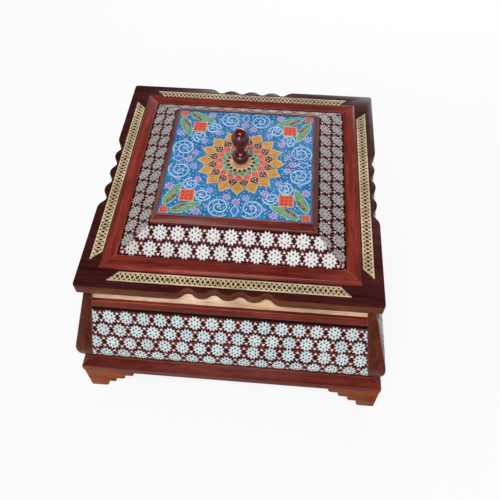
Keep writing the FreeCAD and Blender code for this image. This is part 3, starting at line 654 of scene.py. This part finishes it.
# One scroll of the brush: a flat line along a spiral, thinner at its two ends.
scroll_tree = new_tree("brush_scrolls", {
    "Copies": "Int", "Copy Radius": "Float", "Copy Turn": "Float", "Turn": "Float", "Winds": "Float",
    "Start Radius": "Float", "End Radius": "Float", "Backwards": "Bool", "Line Width": "Float",
    "Dots": "Int", "Dot Radius": "Float", "Thickness": "Float", "Paint": "Material", "Dot Paint": "Material"})
given = add(scroll_tree, "NodeGroupInput").outputs
spiral = add(scroll_tree, "GeometryNodeCurveSpiral", {
    "Resolution": 22, "Rotations": given["Winds"], "Start Radius": given["Start Radius"],
    "End Radius": given["End Radius"], "Height": 0.0, "Reverse": given["Backwards"]})
level = add(scroll_tree, "GeometryNodeSetCurveNormal", {"Curve": spiral}, mode="Z_UP")
done = add(scroll_tree, "GeometryNodeSplineParameter").outputs["Factor"]
swell = add(scroll_tree, "ShaderNodeMath", {0: done, 1: math.pi}, operation="MULTIPLY")
swell = add(scroll_tree, "ShaderNodeMath", {0: swell}, operation="SINE")
swell = add(scroll_tree, "ShaderNodeMapRange", {"Value": swell, "To Min": 0.6, "To Max": 1.0})
swelling = add(scroll_tree, "GeometryNodeSetCurveRadius", {"Curve": level, "Radius": swell})
brush = add(scroll_tree, "GeometryNodeCurvePrimitiveQuadrilateral", {
    "Width": given["Line Width"], "Height": given["Thickness"]})
line = add(scroll_tree, "GeometryNodeCurveToMesh", {
    "Curve": swelling, "Profile Curve": brush, "Fill Caps": True})
line = add(scroll_tree, "GeometryNodeSetMaterial", {"Geometry": line, "Material": given["Paint"]})

# Dots between its winds: the same spiral half a turn round, stopped before it comes out of the scroll.
between = add(scroll_tree, "GeometryNodeTransform", {"Geometry": spiral, "Rotation": (0, 0, math.pi)})
between = add(scroll_tree, "GeometryNodeTrimCurve", {"Curve": between, 2: 0.1, 3: 0.76}, mode="FACTOR")
places = add(scroll_tree, "GeometryNodeCurveToPoints", {"Curve": between, "Count": given["Dots"]})
spot = add(scroll_tree, "GeometryNodeMeshCircle", {
    "Vertices": 6, "Radius": given["Dot Radius"]}, fill_type="NGON")
spot = tessera(scroll_tree, spot, given["Thickness"], given["Dot Paint"])
dotted = add(scroll_tree, "GeometryNodeInstanceOnPoints", {"Points": places, "Instance": spot})

scroll = add(scroll_tree, "GeometryNodeJoinGeometry", {0: [line, dotted]})
scroll = wreath(scroll_tree, scroll, 1, 0.0, given["Turn"])
copies = wreath(scroll_tree, scroll, given["Copies"], given["Copy Radius"], given["Copy Turn"])
add(scroll_tree, "NodeGroupOutput", {0: add(scroll_tree, "GeometryNodeRealizeInstances", {0: copies})})

panel_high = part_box("painted_panel")[1]
PANEL = panel_high.x
LAYER = 0.04 * MM
STEP = 2 * math.pi / 16
painting = bmesh.new()
paints = []


def onto_panel(mesh):
    for paint in mesh.materials:
        if paint not in paints:
            paints.append(paint)
    before = len(painting.faces)
    painting.from_mesh(mesh)
    painting.faces.ensure_lookup_table()
    for face in painting.faces[before:]:
        face.material_index = paints.index(mesh.materials[face.material_index])


def dabs(paint, layer, corners, half_width, inner, outer, at, turn=0, count=1, radius=0, copies=4,
         sharpness=1):
    # Places and lengths are shares of the panel's half width.
    bearing = math.atan2(at[1], at[0])
    onto_panel(laid(dab_tree, {
        "Copies": copies, "Copy Radius": math.hypot(*at) * PANEL, "Copy Turn": bearing, "Count": count,
        "Radius": radius * PANEL, "Turn": turn - bearing, "Corners": corners,
        "Half Width": half_width * PANEL, "Inner Length": inner * PANEL, "Outer Length": outer * PANEL,
        "Sharpness": sharpness, "Thickness": layer * LAYER, "Paint": paint}))


def spots(paint, layer, corners, size, at, **more):
    dabs(paint, layer, corners, size, size, size, at, **more)


def polar(radius, angle):
    return radius * math.cos(angle), radius * math.sin(angle)


blue_ground = brush_paint("mottled_blue_gouache", "#0e609e", "#388ec4", 6)
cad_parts["painted_panel"].material_slots[0].material = blue_ground
cream_paint = brush_paint("cream_gouache_line", "#d8a888", "#ecccaa", 3)
gold_paint = brush_paint("ochre_gouache_petal", "#bc8a38", "#d8ac54", 3)
maroon_paint = brush_paint("maroon_gouache_petal", "#542e2c", "#86504c", 3)
coral_paint = brush_paint("coral_gouache_petal", "#dc4a34", "#f0705c", 3)
orange_paint = brush_paint("orange_coral_gouache_blossom", "#d44836", "#ee7656", 1.5)
crimson_paint = brush_paint("crimson_gouache_spot", "#b83430", "#d45048", 2)
green_paint = brush_paint("green_gouache_petal", "#249070", "#50b498", 3)
black_paint = brush_paint("black_gouache_petal", "#141c14", "#34402e", 3)
white_paint = brush_paint("white_gouache_dot", "#c0d8ec", "#eef4fa", 2)
scroll_paint = brush_paint("pale_blue_gouache_scroll", "#8cbee6", "#c0e0f8", 4)
lilac_paint = brush_paint("lilac_gouache_blossom", "#8c98d8", "#bcbce8", 1.5)
pink_paint = brush_paint("pink_gouache_blossom", "#ac90cc", "#d8bce2", 1.5)
violet_paint = brush_paint("violet_blue_gouache_bud", "#3a62b4", "#5a84cc", 4)
leaf_paint = brush_paint("leaf_green_gouache_wash", "#3f8c6c", "#7eb08c", 3)
olive_paint = brush_paint("olive_gouache_wash", "#6c9468", "#a2ae82", 3)
leaf_line = brush_paint("pale_green_gouache_line", "#7cb8b0", "#b4d0b4", 3)
bud_paint = brush_paint("brown_gouache_bud", "#54281c", "#86503a", 2)

# The medallion: five rings of sixteen kites, each ring half a step round from the last, cream lines between.
RINGS = (0.135, 0.18, 0.235, 0.305, 0.39, 0.49, 0.60)
LINE = 0.006


def petals(ring, paint, layer, inset):
    # Kites between three rings, drawn in from their edges by inset, which leaves the cream line bare.
    inner, side, tip = RINGS[ring:ring + 3]
    half_width, cross = side * math.sin(STEP / 2), side * math.cos(STEP / 2)
    edges = math.hypot(half_width, cross - inner) + math.hypot(half_width, tip - cross)
    touching = half_width * (tip - inner) / edges
    heart = inner + touching / math.sin(math.atan2(half_width, cross - inner))
    share = 1 - inset / touching
    dabs(paint, layer, 4, half_width * share, (cross - inner) * share, (tip - cross) * share,
         polar(heart + (cross - heart) * share, 0.5 * (ring % 2) * STEP), 0.5 * (ring % 2) * STEP, copies=16)


spots(cream_paint, 1, 32, 0.475, (0, 0), copies=1)
petals(4, cream_paint, 2, -1.4 * LINE)
for ring, paint in enumerate((black_paint, green_paint, coral_paint, maroon_paint, gold_paint)):
    petals(ring, paint, 4, LINE)
odd, even = 0.5 * STEP, 0.0
for bearing in (odd - 0.13 * STEP, odd + 0.13 * STEP):
    spots(white_paint, 6, 6, 0.0085, polar(0.375, bearing), copies=16)
for radius in (0.335, 0.415, 0.445):
    spots(white_paint, 6, 6, 0.0085, polar(radius, odd), copies=16)
dabs(coral_paint, 5, 8, 0.016, 0.03, 0.03, polar(0.5, even), copies=16)
dabs(gold_paint, 6, 8, 0.010, 0.02, 0.02, polar(0.5, even), copies=16)
for size, radius, bearing in ((0.007, 0.325, even), (0.006, 0.25, odd), (0.005, 0.195, even)):
    spots(cream_paint, 6, 6, size, polar(radius, bearing), copies=16)


# Blossoms: seven petals and a white eye on a violet disc, round the medallion and beside the scrolls.
def blossom(at, size, paint, copies=4):
    spots(violet_paint, 2, 10, 0.6 * size, at, copies=copies)
    dabs(paint, 3, 6, 0.27 * size, 0.34 * size, 0.36 * size, at, 0, 7, 0.68 * size, copies)
    spots(white_paint, 5, 6, 0.18 * size, at, copies=copies)


blossom(polar(0.665, 0.5 * STEP), 0.058, lilac_paint, 8)
blossom(polar(0.665, 1.5 * STEP), 0.058, pink_paint, 8)
blossom((0, -0.725), 0.06, pink_paint)
for way in (1, -1):
    blossom((way * 0.51, -0.92), 0.062, pink_paint)
    blossom((way * 0.375, -0.83), 0.034, lilac_paint)

# Scrolls: pale blue lines that wind out from a dot, a pair at each side's middle and a pair near each corner,
# each given by its place, its radius, its winds, where it starts and how many dots it has.
for way in (1, -1):
    for x, y, radius, winds, start, dots in (
            (0.212, -0.825, 0.165, 1.75, 2.4, 11), (0.46, -0.635, 0.115, 1.6, 0.6, 7)):
        bearing = math.atan2(y, way * x)
        turn = start if way > 0 else math.pi - start
        onto_panel(laid(scroll_tree, {
            "Copies": 4, "Copy Radius": math.hypot(x, y) * PANEL, "Copy Turn": bearing,
            "Turn": turn - bearing, "Winds": winds, "Start Radius": 0.24 * radius * PANEL,
            "End Radius": radius * PANEL, "Backwards": way < 0, "Line Width": 0.021 * PANEL, "Dots": dots,
            "Dot Radius": 0.0085 * PANEL, "Thickness": 4 * LAYER, "Paint": scroll_paint,
            "Dot Paint": white_paint}))
        spots(lilac_paint, 3, 8, 0.17 * radius, (way * x, y))

# A violet bud in a pale outline between the two scrolls of each side.
dabs(scroll_paint, 2, 4, 0.062, 0.1, 0.11, (0, -0.87), -math.pi / 2)
dabs(violet_paint, 3, 4, 0.046, 0.075, 0.083, (0, -0.87), -math.pi / 2)

# Corner spray: two broad green leaves with brown pods open from a small coral square, with a larger square
# between them.
for at, turn, pod, pod_turn in (
        ((-0.715, -0.885), math.radians(24), (-0.735, -0.862), math.radians(38)),
        ((-0.885, -0.715), math.radians(66), (-0.862, -0.735), math.radians(52))):
    dabs(leaf_line, 2, 18, 0.074, 0.15, 0.3, at, turn, sharpness=1.3)
    dabs(leaf_paint, 3, 18, 0.061, 0.135, 0.27, at, turn, sharpness=1.3)
    dabs(olive_paint, 4, 14, 0.034, 0.11, 0.2, at, turn, sharpness=1.2)
    dabs(bud_paint, 5, 10, 0.02, 0.085, 0.115, pod, pod_turn, sharpness=1.1)
    dabs(pink_paint, 6, 8, 0.005, 0.05, 0.04, pod, pod_turn)
for place, half in ((-0.66, 0.095), (-0.925, 0.05)):
    spots(cream_paint, 4, 4, 1.5 * half, (place, place), turn=math.pi / 4)
    spots(orange_paint, 5, 4, 1.35 * half, (place, place), turn=math.pi / 4)
    for turn, radius in ((0, 0.55), (math.pi / 4, 0.85)):
        dabs(crimson_paint, 6, 6, 0.2 * half, 0.2 * half, 0.24 * half, (place, place), turn, 4, radius * half)
spots(crimson_paint, 6, 6, 0.02, (-0.66, -0.66))

# The paint's foot lies a little below the panel's face, so that no gap shows under it.
SUNK = 0.02 * MM
ON_PANEL = Matrix.Translation((0, 0, panel_high.z - SUNK))
painting_mesh = bpy.data.meshes.new("panel_painting")
painting.to_mesh(painting_mesh)
painting.free()
painting_mesh.transform(ON_PANEL)
for paint in paints:
    painting_mesh.materials.append(paint)
laid_on("panel_painting", painting_mesh, "lid")

# White stipple: fine brush-tip dots scattered all over the blue, under the ornaments.
stipple_tree = new_tree("white_stipple", {
    "Half Width": "Float", "Apart": "Float", "Dot Radius": "Float", "Height": "Float"})
given = add(stipple_tree, "NodeGroupInput").outputs
width = add(stipple_tree, "ShaderNodeMath", {0: given["Half Width"], 1: 2.0}, operation="MULTIPLY")
field = add(stipple_tree, "GeometryNodeMeshGrid", {
    "Size X": width, "Size Y": width, "Vertices X": 2, "Vertices Y": 2})
points = add(stipple_tree, "GeometryNodeDistributePointsOnFaces", {
    "Mesh": field, "Distance Min": given["Apart"], "Density Max": 400000.0, "Seed": 11},
    distribute_method="POISSON")
dot = add(stipple_tree, "GeometryNodeMeshCircle", {
    "Vertices": 6, "Radius": given["Dot Radius"]}, fill_type="NGON")
dot = tessera(stipple_tree, dot, given["Height"], white_paint)
size = add(stipple_tree, "FunctionNodeRandomValue", {
    2: 0.6, 3: 1.25, "Seed": 5}, data_type="FLOAT").outputs[1]
dots = add(stipple_tree, "GeometryNodeInstanceOnPoints", {
    "Points": points, "Instance": dot, "Scale": size})
add(stipple_tree, "NodeGroupOutput", {0: add(stipple_tree, "GeometryNodeRealizeInstances", {0: dots})})
stipple_mesh = laid(stipple_tree, {
    "Half Width": 0.975 * PANEL, "Apart": 2.6 * MM, "Dot Radius": 0.52 * MM, "Height": 0.06 * MM})
stipple_mesh.transform(ON_PANEL)
laid_on("panel_stipple", stipple_mesh, "lid")


# Knob and collar: a ball, a waist and an egg turned in one piece with a tenon glued through the panel into
# the core, over a thin pale turned ring. The knob is dark red-black lacquer rubbed to a high gloss.
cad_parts["knob_collar"].material_slots[0].material = lacquered_wood(
    "turned_boxwood_collar", "#d8ac80", "#ecc8a0", "X", 0.3, 0.3, 3.0)
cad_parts["knob"].material_slots[0].material = lacquered_wood(
    "dark_red_turned_lacquer", "#38080e", "#68141c", "Z", 0.1, 0.5, 4.0, shine=0.25)


# Setting: a pale plain floor and backdrop, one broad soft lamp high in front, a weaker one low in front and a
# little to the left, and a low one behind that lights the far edges.
FLOOR = 3
floor_corners = [(-FLOOR, -FLOOR, 0), (FLOOR, -FLOOR, 0), (FLOOR, FLOOR, 0), (-FLOOR, FLOOR, 0)]
floor_mesh = bpy.data.meshes.new("floor")
floor_mesh.from_pydata(floor_corners, [], [(0, 1, 2, 3)])
floor = bpy.data.objects.new("floor", floor_mesh)
bpy.context.collection.objects.link(floor)

# Matt white studio board: nearly plain white to the eye and in reflections, keeping the box's soft shadow.
PLAIN_WHITE = 0.85
floor_paint, tree, shader = new_finish("white_studio_floor")
connect(tree, shader, {"Base Color": linear("#f4f4f4"), "Roughness": 0.9})
seen = add(tree, "ShaderNodeLightPath").outputs
bright = add(tree, "ShaderNodeEmission", {"Color": (1, 1, 1, 1), "Strength": 1.0})
shown = add(tree, "ShaderNodeMath", {0: seen["Is Camera Ray"], 1: seen["Is Glossy Ray"]}, operation="MAXIMUM")
shown = add(tree, "ShaderNodeMath", {0: shown, 1: seen["Is Transmission Ray"]}, operation="MAXIMUM")
share = add(tree, "ShaderNodeMath", {0: shown, 1: PLAIN_WHITE}, operation="MULTIPLY")
both = add(tree, "ShaderNodeMixShader", {0: share, 1: shader, 2: bright})
connect(tree, tree.nodes["Material Output"], {"Surface": both})
floor_mesh.materials.append(floor_paint)

# The room: white behind the box, a pale horizon in its reflections, and a weak even fill light on it.
FILL = 0.13
world = bpy.data.worlds.new("studio")
bpy.context.scene.world = world
world.use_nodes = True
tree = world.node_tree
sky = tree.nodes["Background"]
seen = add(tree, "ShaderNodeLightPath").outputs
shown = add(tree, "ShaderNodeMath", {
    0: seen["Is Glossy Ray"], 1: seen["Is Transmission Ray"]}, operation="MAXIMUM")
towards = add(tree, "ShaderNodeTexCoord").outputs["Generated"]
rise = add(tree, "ShaderNodeSeparateXYZ", {0: towards}).outputs[2]
backdrop = add(tree, "ShaderNodeMapRange", {
    "Value": rise, "From Min": 0.1, "From Max": 0.4, "To Min": 1.0, "To Max": 0.15})
lit = add(tree, "ShaderNodeMapRange", {"Value": shown, "To Min": FILL, "To Max": backdrop})
strength = add(tree, "ShaderNodeMapRange", {"Value": seen["Is Camera Ray"], "To Min": lit, "To Max": 1.0})
connect(tree, sky, {"Color": (1, 1, 1, 1), "Strength": strength})

LAMP_AIM = Vector((0, 0, 0.1))
for name, place, wide, deep, power in (
        ("key", (-0.02, -0.68, 1.5), 0.95, 0.45, 14), ("front", (-0.2, -1.15, 0.5), 0.6, 0.5, 6),
        ("rim", (0.2, 1.2, 0.48), 1.0, 0.4, 10.5)):
    lamp = bpy.data.lights.new(name, "AREA")
    lamp.shape = "RECTANGLE"
    lamp.size = wide
    lamp.size_y = deep
    lamp.energy = power
    holder = bpy.data.objects.new(name, lamp)
    holder.location = place
    holder.rotation_euler = (LAMP_AIM - Vector(place)).to_track_quat("-Z", "Y").to_euler()
    bpy.context.collection.objects.link(holder)

CAMERA_ROLL = math.radians(-0.46)
camera = bpy.data.cameras.new("camera")
camera.sensor_width = 36
camera.lens = 41.045
camera.shift_y = -0.07
camera.clip_start = 0.01
viewer = bpy.data.objects.new("camera", camera)
viewer.location = (0.038, -0.3361, 0.5385)
facing = Vector((-0.0558, 0.6154, -0.7862)).to_track_quat("-Z", "Y").to_matrix().to_4x4()
viewer.rotation_euler = (facing @ Matrix.Rotation(CAMERA_ROLL, 4, "Z")).to_euler()
bpy.context.collection.objects.link(viewer)
bpy.context.scene.camera = viewer
bpy.context.scene.view_settings.view_transform = "Standard"
